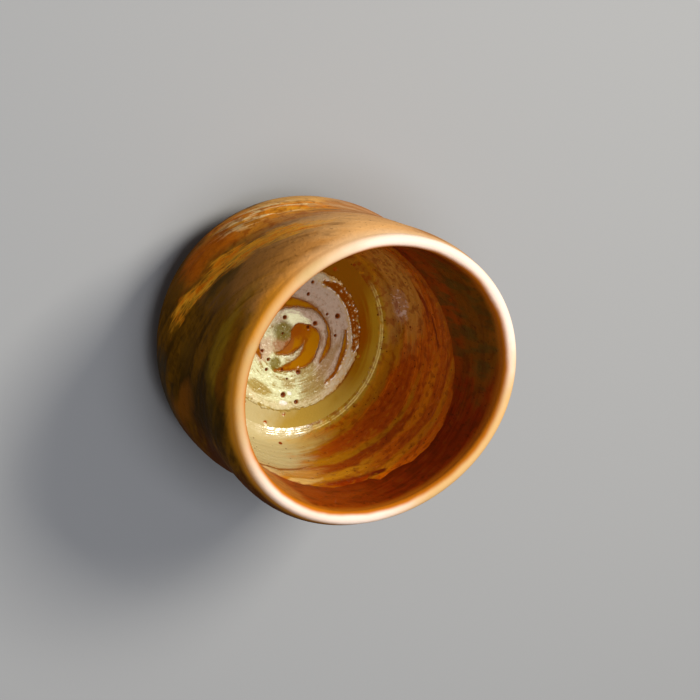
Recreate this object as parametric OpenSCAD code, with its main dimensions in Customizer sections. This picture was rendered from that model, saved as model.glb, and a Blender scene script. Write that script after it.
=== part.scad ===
// Yunomi teacup: a thrown stoneware cup on a foot ring, with slip and glaze coats inside and out.
// The table is the plane z = 0, +Z points out of the mouth, and all sizes are in millimetres.

/* [Overall] */
// Height of the lip above the table
cup_height = 68; // [60:1:92]
// Diameter at the crest of the lip
lip_d = 79; // [68:1:95]
// Thickness of the rounded lip
lip_thickness = 3.8; // [2.5:0.1:5]

/* [Outside of the wall] */
// Clay diameter at the shoulder, the widest place near the mouth
shoulder_d = 86.4; // [80:0.2:104]
// Drop from the lip to the shoulder
shoulder_drop = 11; // [8:1:16]
// Clay diameter at the waist
waist_d = 82.6; // [78:0.2:100]
// Height of the waist above the table
waist_height = 34; // [29:1:41]
// Clay diameter at the belly, the widest place near the base
belly_d = 84.2; // [79:0.2:101]
// Height of the belly above the table
belly_height = 21; // [18:1:26]
// Clay diameter at the heel, where the wall turns under
heel_d = 78; // [74:1:94]
// Height of the heel above the underside of the base
heel_rise = 2.4; // [2:0.2:6]
// Diameter of the flat underside of the base
base_d = 66; // [60:1:72]

/* [Inside of the wall] */
// Clay diameter of the mouth, below the lip
mouth_d = 75; // [64:1:77]
// Clay diameter of the chamber at half depth
chamber_d = 74; // [66:1:77]
// Height of the half depth station above the floor
chamber_rise = 26; // [22:1:32]
// Clay diameter where the wall turns in to the floor
turn_d = 67; // [62:1:70]
// Height of that turn above the floor
turn_rise = 9.5; // [7:0.5:12]

/* [Floor] */
// Thickness of the clay floor
floor_thickness = 8.4; // [6:0.2:11]
// Diameter of the ridge that the potter's finger left round the floor
ridge_d = 56.8; // [54:0.2:60]
// Height of that ridge above the floor
ridge_rise = 2.2; // [1:0.1:3]
// Depth of the gutter between the ridge and the floor
gutter_depth = 1; // [0.5:0.1:2]
// Diameter of the flat floor inside the gutter
well_d = 43.4; // [36:0.2:46]

/* [Foot] */
// Outside diameter of the foot ring
foot_d = 54; // [46:1:58]
// Width of the foot ring
foot_width = 5; // [3.5:0.5:8]
// Height of the foot ring
foot_height = 5; // [3.5:0.5:8]
// Edge break at the bottom of the foot ring
foot_edge = 0.8; // [0.3:0.1:1.2]

/* [Coats] */
// Thickness of the streaked coat on the outside
outside_coat_t = 0.35; // [0.2:0.05:0.6]
// Thickness of the brown slip below the lip
brown_band_t = 0.3; // [0.2:0.05:0.6]
// Reach of the brown slip below the lip
brown_band_reach = 17; // [12:1:22]
// Thickness of the liner glaze
liner_t = 0.5; // [0.3:0.05:0.9]
// Thickness of a coat at its thin edge
coat_edge_t = 0.12; // [0.1:0.01:0.2]

/* [Slip spiral] */
// Radius at which the spiral starts
spiral_start_r = 4; // [3:0.5:6]
// Width of the slip band where the spiral starts
spiral_start_w = 2.6; // [1.5:0.1:3.2]
// Width of the slip band where the spiral ends
spiral_end_w = 6; // [4:0.1:6.4]
// Height of the slip band above the liner glaze
spiral_rise = 0.9; // [0.4:0.1:1.4]
// Slope of the slip band's sides, measured across
spiral_side = 0.4; // [0.2:0.1:0.6]
// Least bare gap between two turns of the spiral
spiral_gap = 0.4; // [0.2:0.1:1.5]
// Clear margin between the spiral and the edge of the floor
spiral_margin = 0.6; // [0.2:0.1:2]
// Direction of the spiral's inner tip, from +X towards +Y
spiral_tip_angle = 80; // [0:5:355]

/* [Hidden] */
$fn = 180;

// Curve pieces between two stations, and round steps over the lip
curve_steps = 8;
lip_steps = 12;
// Curve steps over which a coat's edge thins out
feather_steps = 3;
// Rings of the slip spiral in each turn
spiral_rings = 26;

lip_r = lip_d / 2;
lip_half = lip_thickness / 2;
lip_centre_z = cup_height - lip_half;
base_z = foot_height;
floor_z = base_z + floor_thickness;
glazed_floor_z = floor_z + liner_t;
well_r = well_d / 2;
gutter_r = (ridge_d / 2 + well_r) / 2;
spiral_end_r = well_r - spiral_margin - spiral_end_w / 2;
spiral_turns = (spiral_end_r - spiral_start_r) / (spiral_end_w + spiral_gap);

// Stations of the clay surface, as radius and height
outside_stations = [
    [base_d / 2, base_z],
    [heel_d / 2, base_z + heel_rise],
    [belly_d / 2, belly_height],
    [waist_d / 2, waist_height],
    [shoulder_d / 2, cup_height - shoulder_drop],
    [lip_r + lip_half, lip_centre_z]
];
inside_stations = [
    [lip_r - lip_half, lip_centre_z],
    [mouth_d / 2, cup_height - brown_band_reach],
    [chamber_d / 2, floor_z + chamber_rise],
    [turn_d / 2, floor_z + turn_rise],
    [ridge_d / 2, floor_z + ridge_rise],
    [gutter_r, floor_z - gutter_depth],
    [well_r, floor_z]
];

// Numbers of the stations where coats begin and end
heel_station = 1;
lip_station = 5;
band_end_station = 1;
turn_station = 3;
ridge_station = 4;
well_station = 6;

// Smooth curve through stations, whose pull at each station follows the spacing of its neighbours
function station(p, i) = p[min(max(i, 0), len(p) - 1)];
function before(p, i) = i > 0 ? p[i - 1] : 2 * p[0] - p[1];
function after(p, i) = i < len(p) - 1 ? p[i + 1] : 2 * p[i] - p[i - 1];
function pull(a, b, c, span) =
    let (ab = sqrt(norm(b - a)), bc = sqrt(norm(c - b)))
    span * ((b - a) / ab - (c - a) / (ab + bc) + (c - b) / bc);
function curve_at(p, i, t) =
    let (
        b = p[i],
        c = p[i + 1],
        span = sqrt(norm(c - b)),
        from_b = pull(before(p, i), b, c, span),
        into_c = pull(b, c, after(p, i + 1), span),
        t2 = t * t,
        t3 = t2 * t
    )
    b * (2 * t3 - 3 * t2 + 1) + from_b * (t3 - 2 * t2 + t) + c * (3 * t2 - 2 * t3) + into_c * (t3 - t2);
function curve(p) = concat(
    [for (i = [0 : len(p) - 2]) for (j = [0 : curve_steps - 1]) curve_at(p, i, j / curve_steps)],
    [p[len(p) - 1]]
);

outside_line = curve(outside_stations);
inside_line = curve(inside_stations);
lip_line = [
    for (i = [1 : lip_steps - 1])
        let (a = 180 * i / lip_steps)
        [lip_r + lip_half * cos(a), lip_centre_z + lip_half * sin(a)]
];

// Unit vector out of the clay at a point of a line that keeps the clay on its left
function out_of_clay(line, i) =
    let (d = station(line, i + 1) - station(line, i - 1))
    [d[1], -d[0]] / norm(d);

// Way the liner glaze builds up: square to the clay on the wall, and straight up on the floor
function liner_way(i) =
    let (
        on_floor = min(max(i / curve_steps - turn_station, 0), 1),
        way = out_of_clay(inside_line, i) * (1 - on_floor) + [0, 1] * on_floor
    )
    way / norm(way);

// Thickness of a coat at a step, thin at the first step and, if asked, at the last
function coat_at(i, first, last, t, thin_end) =
    let (in = (i - first) / feather_steps, out = thin_end ? (last - i) / feather_steps : 1)
    max(coat_edge_t, t * min(1, in, out));

// Outer surface of a coat that is thin at both its edges
function coat_line(line, first, last, t) = [
    for (i = [first : last])
        line[i] + out_of_clay(line, i) * coat_at(i, first, last, t, true)
];

function part_of(line, first, last) = [for (i = [first : last]) line[i]];
function reversed(line) = [for (i = [len(line) - 1 : -1 : 0]) line[i]];

// Closed ring of coat between two stations of a line
module coat(line, first_station, last_station, t) {
    first = first_station * curve_steps;
    last = last_station * curve_steps;
    under = part_of(line, first, last);
    over = coat_line(line, first, last, t);
    rotate_extrude() polygon(concat(under, reversed(over)));
}

// Surface of the liner glaze, from its upper edge to the edge of the floor
liner_first = band_end_station * curve_steps;
liner_last = well_station * curve_steps;
liner_surface = [
    for (i = [liner_first : liner_last])
        inside_line[i] + liner_way(i) * coat_at(i, liner_first, liner_last, liner_t, false)
];

// Thrown wall, lip and floor of bare stoneware
module clay_body() {
    color("#b4692e")
        rotate_extrude()
            polygon(concat([[0, base_z]], outside_line, lip_line, inside_line, [[0, floor_z]]));
}

// Ring under the base, with both bottom edges broken
module foot_ring() {
    outer = foot_d / 2;
    inner = outer - foot_width;
    color("#a5622f")
        rotate_extrude()
            polygon([
                [inner + foot_edge, 0],
                [outer - foot_edge, 0],
                [outer, foot_edge],
                [outer, foot_height],
                [inner, foot_height],
                [inner, foot_edge]
            ]);
}

// Streaked slip and ash coat from the heel to the lip
module outside_coat() {
    color("#7a4a1c") coat(outside_line, heel_station, lip_station, outside_coat_t);
}

// Brown slip from the lip down to the liner glaze
module brown_band() {
    color("#5a2808") coat(inside_line, 0, band_end_station, brown_band_t);
}

// Amber glaze over the inside wall and the whole floor
module liner_glaze() {
    under = part_of(inside_line, liner_first, liner_last);
    color("#a35a10")
        rotate_extrude()
            polygon(concat(under, [[0, floor_z], [0, glazed_floor_z]], reversed(liner_surface)));
}

// Olive glaze that stands level with the floor in the gutter
module glaze_pool() {
    ridge_step = (ridge_station - band_end_station) * curve_steps;
    bed = [
        for (i = [ridge_step : len(liner_surface) - 1])
            if (liner_surface[i][1] <= glazed_floor_z) liner_surface[i]
    ];
    color("#8f7a20") rotate_extrude() polygon(bed);
}

// White slip left by the potter's finger as a spiral that widens outwards
module floor_slip() {
    rings = round(spiral_turns * spiral_rings);
    function ring(k) =
        let (
            s = k / rings,
            a = spiral_tip_angle - 360 * spiral_turns * s,
            r = spiral_start_r + (spiral_end_r - spiral_start_r) * s,
            half = (spiral_start_w + (spiral_end_w - spiral_start_w) * s) / 2,
            top = half - spiral_side,
            way = [cos(a), sin(a)]
        )
        [for (q = [[-half, 0], [half, 0], [top, spiral_rise], [-top, spiral_rise]])
            [way[0] * (r + q[0]), way[1] * (r + q[0]), glazed_floor_z + q[1]]];
    points = [for (k = [0 : rings]) each ring(k)];
    sides = [
        for (k = [0 : rings - 1]) for (j = [0 : 3])
            let (a = 4 * k + j, b = 4 * k + (j + 1) % 4)
            each [[a, b, b + 4], [a, b + 4, a + 4]]
    ];
    last = 4 * rings;
    ends = [[0, 2, 1], [0, 3, 2], [last, last + 1, last + 2], [last, last + 2, last + 3]];
    color("#cdb79a") polyhedron(points, concat(sides, ends));
}

clay_body();
foot_ring();
outside_coat();
brown_band();
liner_glaze();
glaze_pool();
floor_slip();
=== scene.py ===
import math

import bpy
import numpy as np
from mathutils import Matrix, Vector, noise


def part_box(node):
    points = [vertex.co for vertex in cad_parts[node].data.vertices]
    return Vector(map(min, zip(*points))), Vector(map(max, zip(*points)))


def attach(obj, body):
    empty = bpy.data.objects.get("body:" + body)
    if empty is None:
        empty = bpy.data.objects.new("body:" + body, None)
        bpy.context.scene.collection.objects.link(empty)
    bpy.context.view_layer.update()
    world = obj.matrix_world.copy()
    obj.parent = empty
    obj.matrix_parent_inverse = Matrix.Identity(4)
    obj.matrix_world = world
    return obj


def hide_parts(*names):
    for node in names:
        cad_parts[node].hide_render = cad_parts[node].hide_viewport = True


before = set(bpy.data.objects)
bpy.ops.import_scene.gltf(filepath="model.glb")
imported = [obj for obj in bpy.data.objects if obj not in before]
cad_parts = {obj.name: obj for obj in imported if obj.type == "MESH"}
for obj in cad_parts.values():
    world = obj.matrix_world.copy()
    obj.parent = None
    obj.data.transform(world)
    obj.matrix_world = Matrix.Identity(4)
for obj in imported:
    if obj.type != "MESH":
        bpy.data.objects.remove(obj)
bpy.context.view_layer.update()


# Clay cup
# Iron stoneware thrown in one piece on the wheel: wall, rounded lip and a thick floor.
# The fired clay shows bare on the lip and under the base, and it carries all the coats.

mm = 0.001
lip_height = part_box("clay_body")[1].z / mm
base_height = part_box("clay_body")[0].z / mm
glazed_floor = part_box("glaze_pool")[1].z / mm
liner_thickness = 0.5
clay_floor = glazed_floor - liner_thickness
lip_radius = 39.5
lip_half = 1.9
lip_centre = lip_height - lip_half
lip_start = math.radians(14)
well_radius = 21.7
ridge_radius = 28.4
turn_height = clay_floor + 9.5
outside_stations = [
    (33.0, base_height),
    (39.0, base_height + 2.4),
    (42.1, 21.0),
    (41.3, 34.0),
    (43.2, lip_height - 11.0),
    (lip_radius + lip_half * math.cos(lip_start), lip_centre + lip_half * math.sin(lip_start)),
]
inside_stations = [
    (lip_radius - lip_half, lip_centre),
    (37.5, lip_height - 17.0),
    (37.0, clay_floor + 26.0),
    (33.5, turn_height),
    (ridge_radius + 2.8, clay_floor + 3.0),
    (ridge_radius + 1.0, clay_floor + 1.25),
    (ridge_radius - 1.0, clay_floor + 0.35),
    ((ridge_radius + well_radius) / 2, clay_floor - 0.4),
    (well_radius, clay_floor),
]
span_steps = 20
lip_steps = 18
turn_steps = 400


def curve(stations, steps):
    """Smooth line through stations. Its pull at each one follows the spacing of the neighbours."""
    p = np.array(stations, float)
    p = np.vstack([2 * p[0] - p[1], p, 2 * p[-1] - p[-2]])
    points = []
    for a, b, c, d in zip(p, p[1:], p[2:], p[3:]):
        ab = math.sqrt(np.linalg.norm(b - a))
        bc = math.sqrt(np.linalg.norm(c - b))
        cd = math.sqrt(np.linalg.norm(d - c))
        from_b = bc * ((b - a) / ab - (c - a) / (ab + bc) + (c - b) / bc)
        into_c = bc * ((c - b) / bc - (d - b) / (bc + cd) + (d - c) / cd)
        for t in np.arange(steps) / steps:
            ends = b * (1 + t * t * (2 * t - 3)) + c * t * t * (3 - 2 * t)
            points.append(ends + from_b * t * (1 - t) ** 2 - into_c * t * t * (1 - t))
    points.append(p[-2])
    return np.array(points)


def spun(name, line, steps, faces_in=False):
    """Draws a line of radius and height, in millimetres, and turns it round the cup's axis."""
    bpy.ops.object.select_all(action="DESELECT")
    bpy.ops.mesh.primitive_plane_add(size=mm)
    piece = bpy.context.object
    piece.name = name
    piece.data.name = name
    bpy.ops.object.mode_set(mode="EDIT")
    bpy.ops.mesh.select_all(action="SELECT")
    bpy.ops.mesh.merge(type="CENTER")
    bpy.ops.transform.translate(value=(line[0][0] * mm, 0, line[0][1] * mm))
    for a, b in zip(line, line[1:]):
        step = ((b[0] - a[0]) * mm, 0, (b[1] - a[1]) * mm)
        bpy.ops.mesh.extrude_region_move(TRANSFORM_OT_translate={"value": step})
    bpy.ops.object.mode_set(mode="OBJECT")
    wheel = piece.modifiers.new("wheel", "SCREW")
    wheel.steps = steps
    wheel.render_steps = steps
    bpy.ops.object.modifier_apply(modifier=wheel.name)
    bpy.ops.object.mode_set(mode="EDIT")
    bpy.ops.mesh.select_all(action="SELECT")
    bpy.ops.mesh.remove_doubles(threshold=0.002 * mm)
    bpy.ops.mesh.normals_make_consistent(inside=faces_in)
    bpy.ops.object.mode_set(mode="OBJECT")
    bpy.ops.object.shade_smooth()
    return piece


def points_of(piece):
    """The x, y and z of all of a piece's points, in millimetres."""
    places = np.empty(len(piece.data.vertices) * 3, np.float32)
    piece.data.vertices.foreach_get("co", places)
    return places.reshape(-1, 3).T.astype(float) / mm


def reshape(piece, move):
    """Moves every point: move takes radius, azimuth in degrees and height, and gives them back."""
    x, y, z = points_of(piece)
    radius, azimuth, height = move(np.hypot(x, y), np.degrees(np.arctan2(y, x)), z)
    turn = np.radians(azimuth)
    places = np.column_stack([radius * np.cos(turn), radius * np.sin(turn), height]) * mm
    piece.data.vertices.foreach_set("co", places.astype(np.float32).ravel())
    piece.data.update()


lean_at_lip = (-1.023, 1.668)
oval_out = 1.78
oval_azimuth = 147.0
lip_lift = 0.97
lift_azimuth = 110.0
oval_reach = 30.0
dent_depth = 1.3
dent_azimuth = -172.0
dent_height = 54.5
dent_half_turn = 28.0
dent_half_height = 11.0


def by_hand(radius, azimuth, height):
    """The potter's hand: an oval mouth, a wavy lip, one side of the shoulder pressed in, and a lean."""
    off = (azimuth - dent_azimuth + 180) % 360 - 180
    spread = (off / dent_half_turn) ** 2 + ((height - dent_height) / dent_half_height) ** 2
    radius = radius - dent_depth * np.exp(-spread) * np.clip(radius - lip_radius, 0, 1)
    near_lip = np.clip(1 - (lip_height - height) / oval_reach, 0, 1) ** 1.5
    radius = radius + oval_out * near_lip * np.cos(2 * np.radians(azimuth - oval_azimuth))
    lift = lip_lift * near_lip * np.cos(2 * np.radians(azimuth - lift_azimuth))
    turn = np.radians(azimuth)
    x = radius * np.cos(turn) + lean_at_lip[0] * height / lip_height
    y = radius * np.sin(turn) + lean_at_lip[1] * height / lip_height
    return np.hypot(x, y), np.degrees(np.arctan2(y, x)), height + lift


class Finish:
    """One socket of a finish. Sums on it add Math nodes, and node() adds any other node."""

    def __init__(self, tree, socket=None):
        self.tree = tree
        self.socket = socket

    def node(self, kind, settings, inputs, out=0):
        made = self.tree.nodes.new("ShaderNode" + kind)
        for name, value in settings.items():
            setattr(made, name, value)
        for name, value in inputs.items():
            if isinstance(value, Finish):
                self.tree.links.new(value.socket, made.inputs[name])
            else:
                made.inputs[name].default_value = value
        return Finish(self.tree, made.outputs[out])

    def sum(self, operation, first, second):
        return self.node("Math", {"operation": operation}, {0: first, 1: second})

    def __add__(self, other):
        return self.sum("ADD", self, other)

    def __radd__(self, other):
        return self.sum("ADD", other, self)

    def __sub__(self, other):
        return self.sum("SUBTRACT", self, other)

    def __rsub__(self, other):
        return self.sum("SUBTRACT", other, self)

    def __mul__(self, other):
        return self.sum("MULTIPLY", self, other)

    def __rmul__(self, other):
        return self.sum("MULTIPLY", other, self)

    def __truediv__(self, other):
        return self.sum("DIVIDE", self, other)


def paint(red, green, blue):
    """A colour as it looks on a screen, from 0 to 255, as the linear colour that a shader takes."""
    shares = [c / 255 for c in (red, green, blue)]
    return tuple(s / 12.92 if s < 0.04045 else ((s + 0.055) / 1.055) ** 2.4 for s in shares) + (1.0,)


def mixed(share, low, high):
    """Colour that goes from low to high as the share goes from 0 to 1."""
    return share.node("Mix", {"data_type": "RGBA"}, {0: share, 6: low, 7: high}, 2)


def soft_step(value, start, end):
    """0 before start, 1 after end, and an easy slope between them."""
    steps = {"Value": value, "From Min": start, "From Max": end}
    return value.node("MapRange", {"interpolation_type": "SMOOTHSTEP"}, steps)


def along(place, way):
    """How far a place lies along a direction."""
    return place.node("VectorMath", {"operation": "DOT_PRODUCT"}, {0: place, 1: way}, "Value")


def mottle(place, size, stretch=(1, 1, 1), detail=3.0, twist=0.0):
    """Noise around 0.5, in lumps of that size in millimetres, drawn out by a stretch and swirled."""
    share = tuple(1 / (size * s) for s in stretch)
    scaled = place.node("VectorMath", {"operation": "MULTIPLY"}, {0: place, 1: share})
    settings = {"Vector": scaled, "Scale": 1.0, "Detail": detail, "Distortion": twist}
    return place.node("TexNoise", {}, settings)


def give_finish(piece, name, look, **constants):
    """Paints a piece: look takes a place in millimetres and gives colour, roughness, relief, any gloss."""
    material = bpy.data.materials.new(name)
    material.use_nodes = True
    tree = material.node_tree
    surface = tree.nodes["Principled BSDF"]
    start = Finish(tree)
    metres = start.node("TexCoord", {}, {}, "Object")
    place = start.node("VectorMath", {"operation": "SCALE"}, {0: metres, "Scale": 1 / mm})
    colour, roughness, relief, *gloss = look(place)
    bump = start.node("Bump", {}, {"Height": relief, "Distance": mm})
    sockets = ("Base Color", "Roughness", "Normal", "Coat Weight")
    for socket, value in zip(sockets, (colour, roughness, bump, *gloss)):
        tree.links.new(value.socket, surface.inputs[socket])
    for socket, value in constants.items():
        surface.inputs[socket.replace("_", " ")].default_value = value
    piece.data.materials.append(material)


def lip_level(place):
    """Height of a place with the lip's wave taken out, so that its crest is all at one level."""
    turn = math.radians(lift_azimuth)
    u = along(place, (math.cos(turn), math.sin(turn), 0)) / lip_radius
    return along(place, (0, 0, 1)) - (u * u * 2 - 1) * lip_lift


def mark(piece, name, values):
    """Leaves a value on each of a piece's points, for its finish to read."""
    points = piece.data.attributes.new(name, "FLOAT", "POINT")
    points.data.foreach_set("value", values)


def marked(place, name):
    """The value that was left on the piece's points."""
    return place.node("Attribute", {"attribute_name": name}, {}, "Fac")


shade_heights = (lip_height - 5.6, lip_height - 1.6)
crest_heights = (lip_height - 2.1, lip_height + 0.1)
inner_orange = paint(186, 106, 20)


def dusted_orange(place):
    """Orange shade under the lip outside. Ash dusted one side of it pale."""
    dusted = soft_step(along(place, (-1, -0.1, 0)), 10, 40)
    return mixed(dusted, paint(212, 136, 32), paint(226, 184, 138))


def lip_colour(place, below, orange, inside=0.0):
    """Colour up to the lip's crest: what lies below, then an orange shade, then gold or cream on the crest,
    partly its own colour and partly a painted highlight.
    """
    cloud = mottle(place, 9, detail=2)
    level = lip_level(place) + (cloud - 0.5) * 2
    golden = soft_step(along(place, (0.1, -0.99, 0)) + (cloud - 0.5) * 16, 10, 38)
    # The crest's pale cream is partly the bare clay's colour and partly a painted highlight.
    crest_with_painted_highlight = mixed(golden, paint(234, 210, 196), paint(190, 158, 108))
    toasted = soft_step(along(place, (0.14, 0.99, 0)) + (cloud - 0.5) * 10, 27, 38)
    crest_with_painted_highlight = mixed(toasted, crest_with_painted_highlight, paint(206, 166, 112))
    colour = mixed(soft_step(level, *shade_heights), below, orange)
    broad = soft_step(along(place, (-0.85, 0.5, 0)), 5, 35)
    reach = level - golden * 0.7 + broad * 0.6 - inside * (1.6 - golden * 1.3 - broad * 0.4)
    return mixed(soft_step(reach, *crest_heights), colour, crest_with_painted_highlight)


def clay_look(place):
    """Bare stoneware: cream and satin on the lip, rough and brown below."""
    across = marked(place, "across")
    inside = soft_step(across, 0, -lip_half)
    orange = mixed(soft_step(across, -0.5, 0.5), inner_orange, dusted_orange(place))
    grain = mottle(place, 0.6)
    bare = mixed(soft_step(grain, 0.35, 0.65), paint(112, 62, 30), paint(160, 100, 58))
    colour = lip_colour(place, bare, orange, inside)
    roughness = soft_step(lip_level(place), 60, 40) * 0.35 + 0.36 + grain * 0.1
    return colour, roughness, grain * 0.05 + mottle(place, 2.2) * 0.1


outside_line = curve(outside_stations, span_steps)
inside_line = curve(inside_stations, span_steps)
lip_turn = np.linspace(lip_start, math.pi, lip_steps + 1)[1:-1]
lip_line = np.column_stack([
    lip_radius + lip_half * np.cos(lip_turn),
    lip_centre + lip_half * np.sin(lip_turn),
])
clay_line = np.vstack([
    [(0, base_height)],
    outside_line[::2],
    lip_line,
    inside_line[::2],
    [(0, clay_floor)],
])
clay_cup = spun("clay_cup", clay_line, turn_steps)
x, y, z = points_of(clay_cup)
mark(clay_cup, "across", np.hypot(x, y) - lip_radius)
reshape(clay_cup, by_hand)
give_finish(clay_cup, "bare stoneware", clay_look, Specular_IOR_Level=0.03)
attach(clay_cup, "root")
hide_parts("clay_body")


# Foot ring
# Ring of the same clay, turned under the base with a trimming tool while the cup was leather hard.
# The cup stands on it, so its two bottom edges are worn round.

foot_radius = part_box("foot_ring")[1].x / mm
foot_width = 5.0
foot_round = 0.8
foot_turn_steps = 240
foot_line = [
    (foot_radius, base_height),
    (foot_radius - foot_width, base_height),
    (foot_radius - foot_width, 0),
    (foot_radius, 0),
    (foot_radius, base_height),
]


def foot_look(place):
    """Rough brown stoneware with turning lines."""
    grain = mottle(place, 0.5)
    lines = mottle(place, 0.5, (30, 30, 1))
    colour = mixed(soft_step(grain, 0.3, 0.7), paint(112, 64, 36), paint(170, 112, 70))
    return colour, grain * 0.2 + 0.65, lines * 0.25 + grain * 0.1


foot_ring = spun("turned_foot", foot_line, foot_turn_steps)
edge_round = foot_ring.modifiers.new("worn edges", "BEVEL")
edge_round.width = foot_round * mm
edge_round.segments = 4
edge_round.limit_method = "ANGLE"
bpy.ops.object.modifier_apply(modifier=edge_round.name)
reshape(foot_ring, by_hand)
give_finish(foot_ring, "turned stoneware", foot_look)
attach(foot_ring, "root")
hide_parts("foot_ring")


# Outside coat
# Iron slip and ash glaze, brushed and run over the whole outside wall from the heel to the lip.
# It is thin, satin and streaked, and thins out to nothing at both its edges.

coat_thickness = 0.35
coat_fade = 14
tuck = -0.1


def raised(line, thickness):
    """A line moved off the clay by a thickness for each point. The clay lies on the line's left."""
    way = np.gradient(line, axis=0)
    out = np.column_stack([way[:, 1], -way[:, 0]])
    return line + out / np.linalg.norm(out, axis=1)[:, None] * np.array(thickness)[:, None]


def feathered(count, thickness, fade):
    """Thickness along a coat of that many points, tucked into the clay at both its edges."""
    i = np.arange(count)
    share = np.clip(np.minimum(i, count - 1 - i) / fade, 0, 1)
    return tuck + (thickness - tuck) * np.sin(share * math.pi / 2)


def backed(piece, thickness):
    """Gives a sheet its inner face."""
    back = piece.modifiers.new("thickness", "SOLIDIFY")
    back.thickness = thickness * mm
    back.offset = -1
    bpy.ops.object.modifier_apply(modifier=back.name)


def helix(place, turn_per_mm):
    """The place turned about the axis in step with its height, so that upright streaks run slanting."""
    turn = along(place, (0, 0, 1)) * math.radians(turn_per_mm)
    return place.node("VectorRotate", {"rotation_type": "Z_AXIS"}, {"Vector": place, "Angle": turn})


def drifted(place, size, reach):
    """The place pushed about by smooth noise, so that what is drawn on it has run unevenly."""
    push = place.node("TexNoise", {}, {"Vector": place, "Scale": 1 / size, "Detail": 2.0}, "Color")
    span = {0: push, 1: (2 * reach,) * 3, 2: (-reach,) * 3}
    moved = push.node("VectorMath", {"operation": "MULTIPLY_ADD"}, span)
    return place.node("VectorMath", {"operation": "ADD"}, {0: place, 1: moved})


def patch(place, azimuth, height, half_length, half_height, tilt=0.0, ragged=0.0, soft=0.0):
    """Share of an oval patch on the wall, which tilts up to the left seen from outside."""
    turn = math.radians(azimuth)
    slope = math.radians(tilt)
    out = Vector((math.cos(turn), math.sin(turn), 0))
    around = Vector((-math.sin(turn), math.cos(turn), 0))
    up = Vector((0, 0, 1))
    long_way = around * math.cos(slope) + up * math.sin(slope)
    short_way = up * math.cos(slope) - around * math.sin(slope)
    u = (along(place, long_way) - height * math.sin(slope)) / half_length
    v = (along(place, short_way) - height * math.cos(slope)) / half_height
    spread = u * u + v * v + ragged
    return soft_step(spread, 1.6 + soft, 0.3 - soft) * soft_step(along(place, out), 0, 8)


coat_runs = [
    (-85, 29.4, 9, 2.4, -28, 1.0), (-100, 33.4, 11, 3.6, -22, 1.0), (-121, 43, 17, 4.8, -30, 0.9),
    (-132, 24, 16, 5.0, -37, 0.9), (40, 30, 34, 3.4, -37, 0.6), (98, 44, 30, 4.5, -37, 0.7),
    (160, 22, 22, 4.5, -37, 0.8),
]


def coat_look(place):
    """Slip in soft slanting washes: dark olive brown, tan on two sides, with orange runs round the wall."""
    slant = helix(place, 2.2)
    wash = mottle(slant, 10, (1, 1, 1.6), 3, 0.6)
    streak = mottle(slant, 3.5, (1, 1, 1.8), 3, 0.5)
    rust = mottle(place, 2.6, detail=4, twist=0.5)
    grit = mottle(place, 0.9, detail=4)
    wander = (wash - 0.5) * 2 + (streak - 0.5) * 1.2 + (rust - 0.5)
    run = drifted(place, 9, 5)
    brushed = wander + (mottle(slant, 1.7, (1, 1, 1.2), 4, 0.5) - 0.5) * 3.2
    tone = soft_step(wash * 0.45 + streak * 0.3 + rust * 0.25, 0.4, 0.6)
    dark = mixed(tone, paint(72, 46, 2), paint(124, 80, 6))
    tan = mixed(tone, paint(172, 114, 64), paint(214, 164, 116))
    gold = mixed(tone, paint(230, 118, 0), paint(252, 176, 44))
    pale_sides = patch(run, -170, 40, 33, 60, 0, wander, 0.5) + patch(run, 75, 42, 26, 60, 0, wander, 0.5)
    colour = mixed(pale_sides, dark, tan)
    wall_patches = [
        (-144, 56, 18, 13, -20, paint(230, 174, 110)),
        (-104, 29, 14, 9, -20, paint(132, 80, 4)),
        (-97, 40.5, 8, 3.4, -25, paint(76, 54, 8)),
        (-116, 57, 16, 12, -10, paint(176, 116, 50)),
        (-122, 24, 22, 10, -25, paint(210, 132, 36)),
        (-71, 57.5, 18, 3.6, -5, paint(148, 110, 20)),
        (-70, 62, 14, 2.2, 0, paint(118, 66, 6)),
        (-62, 33, 6, 4, -30, paint(104, 70, 12)),
        # Painted shade: a dark upright strip where the wall turns away from the key light.
        (-46, 46, 11, 24, 0, paint(56, 38, 6)),
        (0, 36, 20, 60, 0, paint(90, 40, 0)),
        (14, 30, 12, 40, 0, paint(110, 62, 10)),
        (-44, 13, 13, 9, 0, paint(72, 62, 46)),
        (-105, 9, 26, 5, 0, paint(58, 40, 4)),
        (-89, 15, 8, 6, -10, paint(104, 68, 12)),
        (-104, 22, 10, 6, -25, paint(192, 94, 2)),
        (-138, 20, 14, 7, -10, paint(242, 182, 98)),
        (-41, 29, 11, 4, -45, paint(138, 80, 14)),
        (130, 52, 20, 9, -20, paint(196, 132, 70)),
        (40, 50, 14, 9, -20, paint(150, 88, 16)),
    ]
    for azimuth, height, half_length, half_height, tilt, tint in wall_patches:
        share = patch(run, azimuth, height, half_length, half_height, tilt, wander, 0.4)
        colour = mixed(share * 0.85, colour, tint)
    for azimuth, height, half_length, half_height, tilt, strength in coat_runs:
        share = patch(run, azimuth, height, half_length, half_height, tilt, brushed, 0.3)
        colour = mixed(share * strength, colour, gold)
    flecks = soft_step(mottle(slant, 3.6, (1, 1, 1.2), 4, 0.5), 0.48, 0.58)
    fleck_places = patch(place, -131, 24, 15, 6, -15) + patch(place, 150, 26, 17, 7, -20)
    colour = mixed(flecks * fleck_places, colour, paint(250, 214, 150))
    rusty = patch(place, -122, 26, 24, 14, -25, wander) + patch(place, 165, 30, 24, 14, -25, wander)
    colour = mixed(soft_step(rust, 0.42, 0.7) * rusty * 0.7, colour, paint(156, 70, 0))
    smudge = soft_step(mottle(slant, 6, (1, 1, 1.2), 3, 0.6), 0.54, 0.74)
    colour = mixed(smudge * 0.4, colour, paint(76, 44, 4))
    colour = mixed(soft_step(grit, 0.58, 0.74) * 0.4, colour, paint(60, 34, 4))
    colour = lip_colour(place, colour, dusted_orange(place))
    return colour, 0.6 + (streak - 0.5) * 0.3, wash * 0.5 + rust * 0.2 + grit * 0.08


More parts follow.
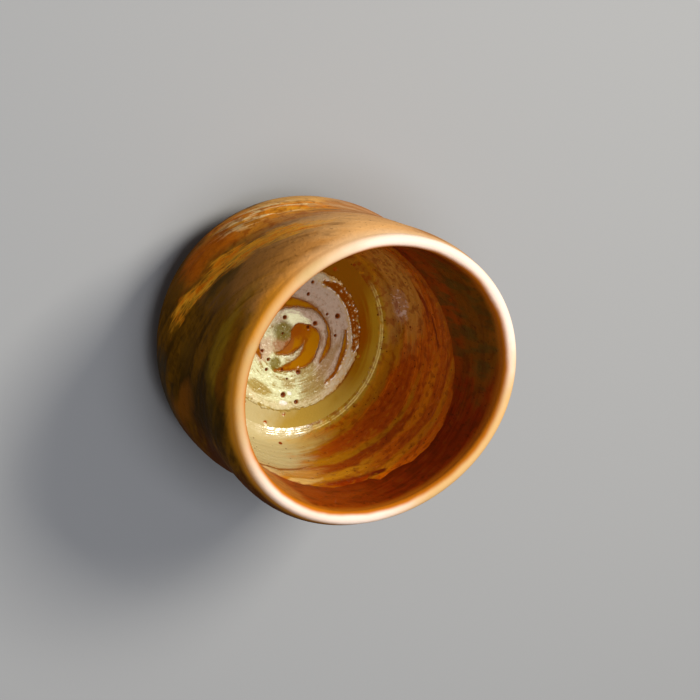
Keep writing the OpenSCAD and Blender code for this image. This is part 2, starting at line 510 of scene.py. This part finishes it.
coat_path = outside_line[span_steps:]
coat_line = raised(coat_path, feathered(len(coat_path), coat_thickness, coat_fade))
outside_coat = spun("streaked_coat", coat_line, turn_steps)
reshape(outside_coat, by_hand)
backed(outside_coat, coat_thickness)
give_finish(outside_coat, "streaked slip", coat_look, Specular_IOR_Level=0.01)
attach(outside_coat, "root")
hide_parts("outside_coat")


# Brown band
# Thin iron slip wiped round the inside below the lip, where it dried before the liner was poured.
# It goes down under the liner's ragged edge.

band_thickness = 0.3
band_fade = 5
band_lap = 2.5
band_low = lip_height - 17.0
liner_edge = [
    (0, 36), (15, 40), (30, 43), (48, 43.8), (50, 47.6), (56, 46.4), (62, 47), (65, 48.8), (75, 49.5),
    (86, 49), (95, 47.5), (110, 44.5), (120, 42), (135, 39), (150, 36), (165, 34), (200, 33), (250, 34),
    (300, 33.5), (340, 34), (360, 36),
]
edge_radius = 37.0


def lumps(x, y, size):
    """Smooth noise from -1 to 1 over a flat place, in lumps of that size."""
    return np.array([noise.noise((a, b, 0)) for a, b in zip(x / size, y / size)])


def edge_height(azimuth):
    """Height of the liner's ragged upper edge."""
    turn, height = np.array(liner_edge, float).T
    x = edge_radius * np.cos(np.radians(azimuth))
    y = edge_radius * np.sin(np.radians(azimuth))
    return np.interp(azimuth % 360, turn, height) + 0.5 * lumps(x, y, 3) + 0.3 * lumps(x, y, 1.2)


inside_wall = inside_line[: 3 * span_steps + 1]


def wall_radius(height):
    """Radius of the bare clay inside, from the lip down to the turn of the wall."""
    return np.interp(height, inside_wall[::-1, 1], inside_wall[::-1, 0])


def run_band(radius, azimuth, height):
    """Stretches the band down to just under the liner's edge."""
    share = np.clip((lip_centre - height) / (lip_centre - band_low), 0, None)
    lowered = lip_centre - share * (lip_centre - edge_height(azimuth) + band_lap)
    below = np.where(height < lip_centre, lowered, height)
    return radius + wall_radius(below) - wall_radius(height), azimuth, below


def band_look(place):
    """Iron slip: dark red brown, going olive on one side and orange on the other."""
    streak = mottle(helix(place, 14), 2.4, (1, 1, 5), 4)
    cloud = mottle(place, 8, (1, 1, 0.6), 3)
    fine = mottle(place, 0.9, (1, 1, 2), 4)
    wander = (cloud - 0.5) * 2
    colour = mixed(soft_step(streak, 0.3, 0.7), paint(118, 30, 0), paint(150, 52, 0))
    colour = mixed(patch(place, 140, 54, 22, 18, 0, wander) * 0.9, colour, paint(118, 74, 8))
    colour = mixed(patch(place, 136, 42, 26, 6, 0, wander) * 0.8, colour, paint(150, 66, 4))
    colour = mixed(patch(place, 5, 54, 22, 22, 0, wander) * 0.8, colour, paint(160, 68, 4))
    colour = mixed(patch(place, -6, 52, 8, 22, 0, wander) * 0.8, colour, paint(190, 122, 50))
    moss = soft_step(mottle(place, 4, (0.7, 0.7, 3), 3), 0.46, 0.62)
    moss = moss * patch(place, 136, 52, 22, 17, 0, wander)
    colour = mixed(moss * 0.7, colour, paint(84, 72, 26))
    blot = mottle(place, 3.5, (1.3, 1.3, 1), 4, 0.5)
    colour = mixed(soft_step(blot, 0.48, 0.68) * 0.45, colour, paint(74, 30, 2))
    colour = mixed(soft_step(blot, 0.46, 0.32) * 0.25, colour, paint(158, 84, 16))
    colour = mixed(soft_step(fine, 0.56, 0.72) * 0.6, colour, paint(64, 24, 2))
    colour = lip_colour(place, colour, inner_orange, 1.0)
    return colour, 0.42 + (cloud - 0.5) * 0.2, streak * 0.08 + fine * 0.05


band_path = inside_line[: span_steps + 1]
band_line = raised(band_path, feathered(len(band_path), band_thickness, band_fade))
brown_band = spun("brown_band_slip", band_line, turn_steps, faces_in=True)
reshape(brown_band, run_band)
reshape(brown_band, by_hand)
backed(brown_band, band_thickness)
give_finish(brown_band, "brown slip", band_look, Specular_IOR_Level=0.06)
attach(brown_band, "root")
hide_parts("brown_band")


# Liner glaze
# Amber glaze poured inside and swirled out again. It ran down the wall from a ragged upper edge,
# shows the rings of the potter's fingers, and covers the floor.

liner_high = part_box("liner_glaze")[1].z / mm
ridge_crests = [(28.7, 0.05, 0.25), (27.8, 0.04, 0.25)]
ring_pitch = 5.5
ring_rise = 0.03
liner_fade = 6


def run_liner(radius, azimuth, height):
    """Draws the upper edge down to where the glaze ran to, and leaves the finger rings and ridge."""
    share = np.clip((height - turn_height) / (liner_high - turn_height), 0, None)
    lowered = turn_height + share * (edge_height(azimuth) - turn_height)
    on_wall = height > turn_height
    below = np.where(on_wall, lowered, height)
    shift = np.where(on_wall, wall_radius(below) - wall_radius(height), 0)
    turns = math.tau * (below / ring_pitch + azimuth / 360)
    rings = ring_rise * (np.sin(turns) + np.sin(2.3 * turns + 1))
    fade = np.clip((below - 15) / 5, 0, 1) * np.clip((1 - share) * 8, 0, 1)
    for place, rise, half in ridge_crests:
        below = below + rise * np.exp(-(((radius - place) / half) ** 2)) * (below < turn_height)
    return radius + shift + rings * fade, azimuth, below


def flat_from(place, centre):
    """The flat way to a place from an upright line."""
    back = (-centre[0], -centre[1], 0)
    return place.node("VectorMath", {"operation": "MULTIPLY_ADD"}, {0: place, 1: (1, 1, 0), 2: back})


def from_axis(place, centre=(0, 0)):
    """How far a place lies from an upright line."""
    flat = flat_from(place, centre)
    return flat.node("VectorMath", {"operation": "LENGTH"}, {0: flat}, "Value")


def specks(place, spacing, half, share):
    """Scattered round specks: their spacing and half size, and the share of places that hold one."""
    cells = {"Vector": place, "Scale": 1 / spacing}
    far = place.node("TexVoronoi", {}, cells, "Distance") * spacing
    chosen = along(place.node("TexVoronoi", {}, cells, "Color"), (1, 0, 0))
    return soft_step(far, half * 1.3, half * 0.6) * soft_step(chosen, share + 0.02, share)


def pits(place, spots):
    """Share of the small burst pits, each with its place and its half size."""
    share = 0
    for x, y, z, half in spots:
        far = place.node("VectorMath", {"operation": "DISTANCE"}, {0: place, 1: (x, y, z)}, "Value")
        share = soft_step(far, half * 1.1, half * 0.6) + share
    return share


wall_pits = [
    (28.6, 11.8, 16.9, 0.7), (-27.2, 6.2, 14.6, 0.6), (-26.2, 3.1, 14.2, 0.7), (-19.2, 27.6, 23.2, 0.5),
    (-25.0, 20.2, 19.6, 0.5),
]
# Radius, half width and strength of pale lines along the ridge, which are painted highlight.
ridge_highlight_lines = [(28.5, 0.5, 0.35), (28.85, 0.14, 1.0), (28.2, 0.1, 0.7)]


def liner_look(place):
    """Amber glaze over slip streaks: cream where it pooled thick, red brown where it ran thin."""
    radius = from_axis(place)
    streak = mottle(helix(place, 16), 2.2, (1, 1, 8), 4, 0.3)
    cloud = mottle(place, 4, (1, 1, 0.5), 5, 0.5)
    fine = mottle(place, 0.8, detail=4)
    wander = (cloud - 0.5) * 1.2 + (streak - 0.5) * 1.2
    run = drifted(place, 14, 3)
    colour = mixed(soft_step(streak * 0.7 + cloud * 0.3, 0.36, 0.64), paint(154, 62, 0), paint(194, 98, 2))
    wall_patches = [
        (30, 34.0, 18, 10, 0, paint(170, 104, 8)),
        (74, 46.0, 30, 3.0, 0, paint(204, 98, 0)),
        (76, 42.4, 26, 1.8, 0, paint(200, 122, 2)),
        (40, 41.0, 8, 2.0, 0, paint(138, 44, 0)),
        (53, 42.0, 2.4, 1.2, 30, paint(112, 26, 0)),
        (92, 34.6, 14, 1.5, 0, paint(196, 112, 4)),
        (54, 31.5, 20, 3.0, 0, paint(140, 58, 0)),
        (16, 34.6, 12, 3.0, -14, paint(186, 126, 44)),
        (34, 36.8, 14, 1.6, -4, paint(186, 124, 14)),
        (18, 38.6, 8, 1.5, -16, paint(206, 164, 92)),
        (7, 42.5, 6, 1.8, -34, paint(204, 160, 90)),
        (-2, 37, 8, 4, -20, paint(190, 158, 104)),
        (46, 22.5, 15, 6.5, 0, paint(158, 106, 4)),
        (56, 28.6, 26, 1.4, 2, paint(166, 106, 2)),
        (78, 23.5, 23, 4.2, 0, paint(154, 64, 0)),
        (20, 17.4, 16, 4.2, 0, paint(178, 146, 78)),
        (5, 23, 15, 11, 0, paint(182, 166, 118)),
        (14, 32.2, 12, 0.6, -20, paint(136, 78, 18)),
        (148, 23, 18, 8, 0, paint(184, 130, 52)),
        (138, 31, 7, 0.8, -8, paint(124, 42, 0)),
        (152, 35, 6, 0.8, -8, paint(120, 38, 0)),
        (126, 34, 5, 0.4, -8, paint(116, 40, 0)),
        (118, 18.5, 10, 2.5, 0, paint(160, 104, 12)),
        (118, 16.2, 30, 2.6, 0, paint(148, 92, 8)),
        (131, 16.6, 11, 3.4, 0, paint(152, 104, 40)),
        (136, 20, 5.5, 3.2, 0, paint(174, 130, 88)),
    ]
    for azimuth, level, half_length, half_height, tilt, tint in wall_patches:
        colour = mixed(patch(run, azimuth, level, half_length, half_height, tilt, wander), colour, tint)
    gilt = patch(place, 66, 15.5, 30, 9, 0, wander)
    pale = patch(place, 2, 15, 17, 9, 0, wander)
    near_pool = mixed(gilt, paint(132, 78, 12), paint(150, 112, 22))
    # Painted highlight: pale lines and a soft pale band along the ridge.
    for at, half, strength in ridge_highlight_lines:
        off = radius + (fine - 0.5) * 0.3 - at
        line = soft_step(off * off, half * half * 2, 0) * soft_step(cloud, 0.3, 0.5)
        near_pool = mixed(line * gilt * strength, near_pool, paint(206, 182, 104))
    near_pool = mixed(pale, near_pool, paint(184, 168, 122))
    colour = mixed(soft_step(radius + (cloud - 0.5) * 1.6, 30.4, 29.2), colour, near_pool)
    depth = marked(place, "depth") + (cloud - 0.5) * 5 + (fine - 0.5) * 2
    shaded = patch(place, 140, 40, 30, 24)
    hazy = shaded * soft_step(depth, 5, 0) + soft_step(depth, 1.0, 0) * 0.6
    colour = mixed(hazy, colour, mixed(shaded, paint(130, 46, 0), paint(138, 66, 4)))
    blot = mottle(place, 1.8, (1.2, 1.2, 1), 4, 0.4)
    # Pale flecks on the wall, partly their own colour and partly painted glints.
    flecks = soft_step(mottle(place, 1.5, (1, 1, 1.6), 3, 0.4), 0.52, 0.6) * patch(place, 137, 20.5, 5, 3)
    colour = mixed(flecks, colour, paint(206, 180, 162))
    amber = soft_step(patch(run, 2, 26, 24, 16), 0.6, 0.1)
    colour = mixed(soft_step(blot, 0.5, 0.64) * amber * 0.5, colour, paint(118, 38, 0))
    colour = mixed(soft_step(blot, 0.46, 0.3) * amber * 0.4, colour, paint(180, 116, 10))
    smear = soft_step(mottle(helix(place, 16), 1.0, (1, 1, 7), 4, 0.4), 0.55, 0.72)
    colour = mixed(smear * amber * 0.25, colour, paint(110, 40, 0))
    colour = mixed(specks(place, 2.0, 0.26, 0.55) * 0.8, colour, paint(70, 20, 0))
    colour = mixed(specks(place, 1.3, 0.13, 0.4) * 0.7, colour, paint(80, 24, 0))
    colour = mixed(pits(place, wall_pits), colour, paint(122, 48, 4))
    glassy = soft_step(radius, 31, 29)
    relief = streak * 0.05 + fine * 0.04 + cloud * 0.2 + blot * (glassy * 0.3 + 0.05)
    return colour, 0.26 + (cloud - 0.5) * 0.15, relief, glassy * soft_step(blot, 0.42, 0.56)


liner_path = np.vstack([inside_line[span_steps : 6 * span_steps], inside_line[6 * span_steps :: 5]])
liner_share = np.clip(np.arange(len(liner_path)) / liner_fade, 0, 1)
liner_rise = liner_share * (liner_thickness - tuck) + tuck
liner_wall = raised(liner_path, liner_rise)
liner_floor = [(r, glazed_floor) for r in np.linspace(well_radius - 1, 0, 4)]
liner = spun("amber_liner", np.vstack([liner_wall, liner_floor]), turn_steps, faces_in=True)
reshape(liner, run_liner)
x, y, z = points_of(liner)
mark(liner, "depth", edge_height(np.degrees(np.arctan2(y, x))) - z)
reshape(liner, by_hand)
backed(liner, liner_thickness)
give_finish(liner, "amber glaze", liner_look, Specular_IOR_Level=0.15, Coat_Roughness=0.1)
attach(liner, "root")
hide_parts("liner_glaze")


# Glaze pool
# Olive glaze that ran off the wall and stands in the gutter round the floor. It is glassy, and
# creeps up the foot of the wall in a soft curve.

slip_centre = (0.5, 0.3)
slip_radius = 21.5
pool_depth = 0.6
pool_steps = 12
pool_pits = [(-4.5, 22.5, 0.75), (20.7, 9.7, 0.6), (25.4, 5.6, 0.7), (22.8, -3.5, 0.5), (-23.4, 1.6, 0.8)]
pit_depth = 0.3
pit_rim = 0.08


def pocked(radius, azimuth, height):
    """Sinks the burst bubbles into the glass."""
    x = radius * np.cos(np.radians(azimuth))
    y = radius * np.sin(np.radians(azimuth))
    for a, b, half in pool_pits:
        far = np.hypot(x - a, y - b) / half
        height = height - pit_depth * np.exp(-(far ** 4)) + pit_rim * np.exp(-(((far - 1.4) / 0.4) ** 2))
    return radius, azimuth, height


def on_wheel(place, centre):
    """The place as the wheel sees it: its direction from the centre, and its radius as the height."""
    flat = flat_from(place, centre)
    way = flat.node("VectorMath", {"operation": "NORMALIZE"}, {0: flat})
    stacked = flat.node("CombineXYZ", {}, {"Z": from_axis(place, centre)})
    return way.node("VectorMath", {"operation": "MULTIPLY_ADD"}, {0: way, 1: (14, 14, 0), 2: stacked})


def pool_look(place):
    """Olive glass, paler towards the wall, with an iron line along the slip's edge."""
    cloud = mottle(place, 7, detail=3)
    fine = mottle(place, 0.7)
    wander = (cloud - 0.5) * 2
    shallow = soft_step(from_axis(place) + wander, 24.5, 27.5)
    colour = mixed(shallow, paint(142, 102, 12), paint(160, 126, 42))
    colour = mixed(patch(place, 34, 14, 17, 9, 0, wander) * 0.8, colour, paint(164, 136, 58))
    colour = mixed(patch(place, -14, 14, 14, 9, 0, wander), colour, paint(176, 160, 112))
    turns = mottle(on_wheel(place, (0, 0)), 1.2, (12, 12, 1), 3)
    clearer = soft_step(from_axis(place) + wander + (turns - 0.5) * 6, 23.4, 26.4)
    browned = mixed(clearer, paint(130, 66, 0), paint(150, 110, 20))
    colour = mixed(patch(place, 132, 14, 17, 9, 0, wander, 0.2), colour, browned)
    colour = mixed(patch(place, 170, 14, 12, 9, 0, wander, 0.2), colour, paint(130, 76, 6))
    off_slip = from_axis(place, slip_centre) - slip_radius
    iron = soft_step(off_slip + (fine - 0.5) * 0.6, 0.8, 0.1)
    iron = iron * soft_step(along(place, (-0.64, 0.77, 0)), 2, 18)
    colour = mixed(iron * 0.8, colour, paint(110, 48, 2))
    sunk = pits(place, [(x, y, glazed_floor, half) for x, y, half in pool_pits])
    colour = mixed(sunk, colour, paint(150, 66, 6))
    return colour, 0.12 + (fine - 0.5) * 0.06, cloud * 0.3 + fine * 0.06


pool_line = curve([
    (ridge_radius - 0.7, glazed_floor + 0.2),
    (ridge_radius - 1.4, glazed_floor + 0.26),
    (ridge_radius - 2.4, glazed_floor + 0.17),
    (ridge_radius - 3.8, glazed_floor + 0.09),
    (well_radius, glazed_floor + 0.04),
    (well_radius - 1.5, glazed_floor - 0.1),
], pool_steps)
pool = spun("olive_pool", pool_line, turn_steps)
reshape(pool, by_hand)
reshape(pool, pocked)
backed(pool, pool_depth)
give_finish(pool, "olive glaze", pool_look, Specular_IOR_Level=0.5)
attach(pool, "root")
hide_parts("glaze_pool")


# Floor slip
# Thick white slip left on the floor as a spiral by the potter's finger. Glaze ran off its crests
# into the grooves, and gas burst through it in the kiln and left small craters.

slip_rings = 190
slip_turn_steps = 480
slip_out = well_radius + 0.4
slip_spread = 1.05
slip_thickness = 0.65
slip_film = 0.05
slip_depth = 0.5
bank_width = 0.7
crater_rim = 0.2
grooves = [
    [(-1.6, -0.2, 0.8), (-3.4, 2.4, 1.9), (-2.9, 5.6, 2.4), (0.2, 6.95, 2.25), (3.4, 7.1, 2.1),
     (6.2, 5.4, 1.5), (8.2, 3.4, 0.9), (9.6, 1.6, 0.4), (10.6, 0.2, 0.2)],
    [(-2.6, 1.2, 2.4), (-0.4, 1.9, 2.1), (1.8, 1.7, 1.6), (3.6, 0.9, 1.2), (5.2, -0.6, 0.6),
     (6.0, -1.8, 0.2)],
    [(9.4, -5.8, 0.1), (8.0, -7.8, 0.6), (5.4, -10.2, 0.9), (1.5, -12.0, 1.1), (-4.0, -11.2, 1.2),
     (-8.0, -7.4, 1.4), (-9.7, -3.6, 1.0), (-10.5, 0.4, 0.5), (-10.3, 3.4, 0.15), (-8.6, 7.4, 0.1),
     (-6.4, 9.8, 0.3), (-3.6, 11.3, 0.6), (-0.8, 11.9, 0.55), (2.4, 11.8, 0.1)],
    [(-9.2, 14.4, 0.1), (-6.0, 16.1, 0.45), (-1.5, 17.4, 0.5), (3.4, 17.8, 0.3), (7.0, 16.6, 0.1)],
    [(-18.6, 0.6, 0.4), (-19.0, 5.6, 1.1), (-17.2, 11.2, 1.6), (-14.0, 15.1, 1.6), (-9.8, 18.2, 1.2),
     (-5.4, 19.8, 0.4)],
    [(12.0, -12.5, 0.3), (5.0, -17.0, 0.5), (-4.0, -17.5, 0.5), (-12.0, -13.5, 0.3)],
]
craters = [
    (15.9, 11.1, 0.8), (15.8, 6.2, 0.95), (7.9, 7.0, 0.85), (9.4, 2.1, 0.65), (11.6, -2.6, 0.6),
    (8.8, -3.6, 0.6), (7.4, -6.6, 0.6), (11.2, 4.7, 0.4), (-6.9, 4.2, 0.85), (-5.0, 2.9, 0.85),
    (-4.2, -5.4, 0.85), (0.2, -3.6, 0.45), (-11.9, 9.5, 0.95), (-6.6, 11.9, 0.5), (-10.9, 6.2, 0.5),
    (-13.4, -2.4, 0.6), (-17.0, -3.0, 0.6), (3.0, -14.6, 0.8), (-9.0, -12.0, 0.7), (14.0, -9.5, 0.7),
]
bead_count = 64
bead_start = 103.0
bead_step = 1.1
bead_radius = 20.8


def to_line(x, y, points):
    """Distance from each place to the near edge of a drawn line, whose points have a half width."""
    line = curve(points, 6)
    least = np.full(len(x), np.inf)
    for a, b in zip(line, line[1:]):
        way = b[:2] - a[:2]
        share = ((x - a[0]) * way[0] + (y - a[1]) * way[1]) / (way @ way)
        share = np.clip(share, 0, 1)
        far = np.hypot(x - a[0] - share * way[0], y - a[1] - share * way[1])
        least = np.minimum(least, far - a[2] - share * (b[2] - a[2]))
    return least


def bead_bank(x, y):
    """How far each place lies inside the nearest bead of froth. It is negative outside them."""
    bank = np.full(len(x), -np.inf)
    for i in range(bead_count):
        at = math.radians(bead_start + bead_step * i + 0.8 * math.sin(5.3 * i))
        out = bead_radius + 0.9 * math.sin(2.1 * i)
        far = np.hypot(x - out * math.cos(at), y - out * math.sin(at))
        bank = np.maximum(bank, 0.3 + 0.2 * math.sin(3.7 * i) - far)
    return bank + 0.25 * lumps(x, y, 0.6)


def groove_bank(x, y):
    """How far each place lies from the nearest groove's edge. It is negative in the grooves."""
    wander = 0.35 * lumps(x, y, 1.6) + 0.25 * lumps(x, y, 0.7)
    bank = np.full(len(x), np.inf)
    for points in grooves:
        bank = np.minimum(bank, to_line(x, y, points) + 0.6 * wander)
    return np.maximum(bank, bead_bank(x, y))


def swirl(radius, azimuth, height):
    """Lays the slip: crowned bands, grooves between them, froth in the widest, wrinkles and craters."""
    turn = np.radians(azimuth)
    share = slip_spread * radius / slip_out
    x = slip_centre[0] + slip_radius * share * np.cos(turn)
    y = slip_centre[1] + slip_radius * share * np.sin(turn)
    beyond = np.hypot(x - slip_centre[0], y - slip_centre[1]) - slip_radius
    beyond = beyond + 0.5 * lumps(x, y, 1.6) + 0.3 * lumps(x, y, 0.7)
    froth = bead_bank(x, y)
    bank = np.maximum(np.minimum(groove_bank(x, y), -beyond), froth)
    rise = slip_film + slip_thickness * (1 - np.exp(-np.clip(bank, 0, None) / bank_width))
    rise = rise - np.clip(beyond, 0, 0.5) * np.clip(-froth / 0.3, 0, 1)
    wrinkle = 0.16 * lumps(x, y, 1.3) + 0.12 * lumps(x + 40, y, 0.6)
    rim = np.clip(radius - 19.2, 0, 1) * 0.3 * lumps(x, y + 70, 1.1)
    rise = rise + wrinkle * np.clip(bank, 0, 1) + rim * np.clip(bank, 0, 1)
    for a, b, half in craters:
        far = np.hypot(x - a, y - b) / half
        keep = 1 - np.exp(-((far / 0.8) ** 4))
        rise = rise * keep + slip_film * (1 - keep) + crater_rim * np.exp(-(((far - 1.3) / 0.3) ** 2))
    return np.hypot(x, y), np.degrees(np.arctan2(y, x)), glazed_floor + rise


def dabbed(place, colour, ragged, dabs):
    """A colour with dabs of others over it: each has its place, half size, pull, raggedness and tint."""
    x = along(place, (1, 0, 0))
    y = along(place, (0, 1, 0))
    for a, b, half_x, half_y, pull, torn, tint in dabs:
        u = (x - a) / half_x
        v = (y - b) / half_y
        spread = u * u + v * v + ragged * torn - pull
        colour = mixed(soft_step(spread, 1.7, 0.1) * 0.85, colour, tint)
    return colour


def slip_look(place):
    """White slip, yellow on one side and mauve on the other, partly as painted light and painted shade,
    with amber glaze in its grooves.
    """
    rise = along(place, (0, 0, 1)) - glazed_floor
    cloud = mottle(place, 4, detail=3)
    fine = mottle(place, 0.6, detail=4)
    turns = mottle(on_wheel(place, slip_centre), 0.6, (9, 9, 1), 4)
    bank = marked(place, "bank") + (fine - 0.5) * 0.3
    wander = (cloud - 0.5) * 2
    # Painted light: the side facing the key light is painted yellow, the far side mauve as painted shade.
    lit = soft_step(along(place, (0.9, -0.43, 0)) + wander * 5, -4, 8)
    white = mixed(lit, paint(186, 162, 140), paint(212, 214, 168))
    body = mixed(lit, paint(152, 122, 92), paint(156, 132, 64))
    far_out = soft_step(from_axis(place, slip_centre), 16.5, 18.5)
    body = mixed(far_out * (1 - lit), body, paint(190, 150, 88))
    pebbly = mottle(place, 1.0, detail=2)
    thick = rise + (fine - 0.5) * 0.4
    thick = thick + (turns - 0.5) * (lit * 0.8 + 0.8) + (pebbly - 0.5) * (0.6 - lit * 0.4)
    colour = mixed(soft_step(thick, 0.28, 0.72), body, white)
    dabs_and_painted_glints = [
        (-5.0, -1.8, 1.9, 3.8, 0.6, 1.4, paint(244, 246, 200)),
        (6.6, -6.4, 3.6, 2.6, 0.2, 0.8, paint(198, 172, 142)),
        (3.0, -2.2, 2.6, 2.6, 0.3, 0.4, paint(158, 112, 76)),
        (-0.6, -3.8, 2.5, 2.7, 0.5, 0.4, paint(106, 92, 4)),
        (8.9, -1.2, 1.6, 1.6, 0.4, 0.5, paint(112, 98, 20)),
        # The next two near-white dots are painted glints.
        (18.0, 7.4, 0.7, 1.1, 0.3, 1.0, paint(244, 242, 238)),
        (14.6, 7.6, 0.5, 0.8, 0.3, 1.0, paint(244, 242, 236)),
        (17.2, -2.2, 1.5, 3.7, 0.6, 0.3, paint(152, 126, 48)),
        (9.5, 13.6, 6.0, 3.4, 0.1, 1.0, paint(146, 118, 52)),
        (7.0, 9.6, 3.6, 2.4, 0.0, 1.0, paint(152, 128, 66)),
        (12.4, 5.8, 1.6, 2.6, -0.2, 1.0, paint(158, 134, 72)),
        (0.5, 13.8, 7.0, 1.6, 0.0, 1.0, paint(150, 118, 76)),
    ]
    ragged = wander * 0.7 + (fine - 0.5) + (turns - 0.5) * 2.5
    colour = dabbed(place, colour, ragged, dabs_and_painted_glints)
    outer = soft_step(from_axis(place, slip_centre) + (fine - 0.5) * 2, 17.6, 19.6)
    colour = mixed(outer * soft_step(thick, 0.2, 0.8) * 0.7, colour, paint(200, 182, 140))
    colour = mixed(specks(place, 1.1, 0.13, 0.5) * lit * 0.7, colour, paint(120, 104, 36))
    rims = soft_step(bank, 0.45, 0.05) * soft_step(cloud, 0.3, 0.5)
    colour = mixed(rims * 0.85, colour, paint(176, 108, 36))
    amber = mixed(soft_step(bank + wander * 2, 0.1, -0.9), paint(138, 74, 4), paint(162, 104, 0))
    amber = mixed(far_out, amber, paint(128, 60, 0))
    # Painted glints: a broken near-white line along the slip's edges on the far side.
    painted_edge_glints = soft_step(bank, 0.1, 0.3) * soft_step(bank, 0.8, 0.4) * soft_step(pebbly, 0.44, 0.58)
    colour = mixed(painted_edge_glints * far_out * 0.9, colour, paint(240, 228, 212))
    colour = mixed(soft_step(bank, 0.1, -0.15), colour, amber)
    stains = [
        (-2.6, 0.8, 2.6, 2.4, 0.0, 0.5, paint(134, 60, 4)),
        (2.4, 0.2, 2.4, 1.3, 0.3, 0.8, paint(146, 82, 28)),
        (-3.4, 3.4, 2.2, 2.0, -0.2, 0.6, paint(146, 76, 2)),
    ]
    colour = dabbed(place, colour, ragged, stains)
    sunk = pits(place, [(x, y, glazed_floor + 0.2, half) for x, y, half in craters])
    colour = mixed(sunk, colour, paint(136, 60, 6))
    hearts = pits(place, [(x, y, glazed_floor, half * 0.6) for x, y, half in craters])
    colour = mixed(hearts, colour, paint(74, 28, 2))
    relief = soft_step(bank, 0, 0.3) * (fine * 0.08 + turns * 0.2 + pebbly * 0.3)
    return colour, 0.2 + (fine - 0.5) * 0.2, relief


slip_line = [(r, glazed_floor) for r in np.linspace(slip_out, 0, slip_rings)]
slip = spun("white_slip_spiral", slip_line, slip_turn_steps)
reshape(slip, swirl)
bpy.ops.object.mode_set(mode="EDIT")
bpy.ops.mesh.select_all(action="DESELECT")
bpy.ops.mesh.select_mode(type="EDGE")
bpy.ops.mesh.select_non_manifold()
bpy.ops.mesh.extrude_region_move(TRANSFORM_OT_translate={"value": (0, 0, -slip_depth * mm)})
bpy.ops.mesh.merge(type="CENTER")
bpy.ops.mesh.select_all(action="SELECT")
bpy.ops.mesh.normals_make_consistent(inside=False)
bpy.ops.object.mode_set(mode="OBJECT")
x, y, z = points_of(slip)
mark(slip, "bank", groove_bank(x, y))
give_finish(slip, "white slip", slip_look, Specular_IOR_Level=0.5)
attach(slip, "root")
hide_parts("floor_slip")


# Floor
# Plain pale grey paper, which the cup stands on. It isn't part of the object.

bpy.ops.object.select_all(action="DESELECT")
bpy.ops.mesh.primitive_plane_add(size=6)
floor = bpy.context.object
floor.name = "studio_floor"
floor_paper = bpy.data.materials.new("floor paper")
floor_paper.use_nodes = True
paper = floor_paper.node_tree.nodes["Principled BSDF"]
paper.inputs["Base Color"].default_value = paint(150, 151, 155)
paper.inputs["Roughness"].default_value = 0.9
paper.inputs["Specular IOR Level"].default_value = 0.1
floor.data.materials.append(floor_paper)


# Light
# A warm soft key from the left and a cooler soft light from above, which reaches down into the cup.

studio_lights = [
    ("key", 164.0, 50.0, 0.3, 9.0, (1.0, 0.95, 0.82)),
    ("overhead", -90.0, 84.0, 0.4, 5.0, (0.96, 0.98, 1.0)),
]
light_distance = 0.9
light_target = Vector((0, 0, 35 * mm))
for name, azimuth, elevation, size, power, tint in studio_lights:
    lamp = bpy.data.lights.new(name, "AREA")
    lamp.shape = "SQUARE"
    lamp.size = size
    lamp.energy = power
    lamp.color = tint
    way = Vector((0, 0, 1))
    way.rotate(Matrix.Rotation(math.radians(90 - elevation), 3, "Y"))
    way.rotate(Matrix.Rotation(math.radians(azimuth), 3, "Z"))
    light = bpy.data.objects.new(name, lamp)
    bpy.context.scene.collection.objects.link(light)
    light.location = light_target + way * light_distance
    light.rotation_euler = way.to_track_quat("Z", "Y").to_euler()
    light.visible_glossy = name == "key"
world = bpy.data.worlds.new("studio")
bpy.context.scene.world = world
world.use_nodes = True
sky = world.node_tree.nodes["Background"]
sky.inputs["Color"].default_value = (1.0, 0.98, 0.95, 1)
sky.inputs["Strength"].default_value = 0.14
world.cycles_visibility.glossy = False


# Camera
# Stands close over the rim and looks steeply down into the cup, turned on its side as in the photo.

camera_place = Vector((-4.960, -320.566, 630.738)) * mm
camera_down = 61.18
camera_roll = 118.74
camera_lens = 123.43
camera_data = bpy.data.cameras.new("camera")
camera_data.lens = camera_lens
camera = bpy.data.objects.new("camera", camera_data)
bpy.context.scene.collection.objects.link(camera)
tilt = Matrix.Rotation(math.radians(90 - camera_down), 4, "X")
roll = Matrix.Rotation(math.radians(camera_roll), 4, "Z")
camera.matrix_world = Matrix.Translation(camera_place) @ tilt @ roll
bpy.context.scene.camera = camera
bpy.context.scene.view_settings.view_transform = "Standard"
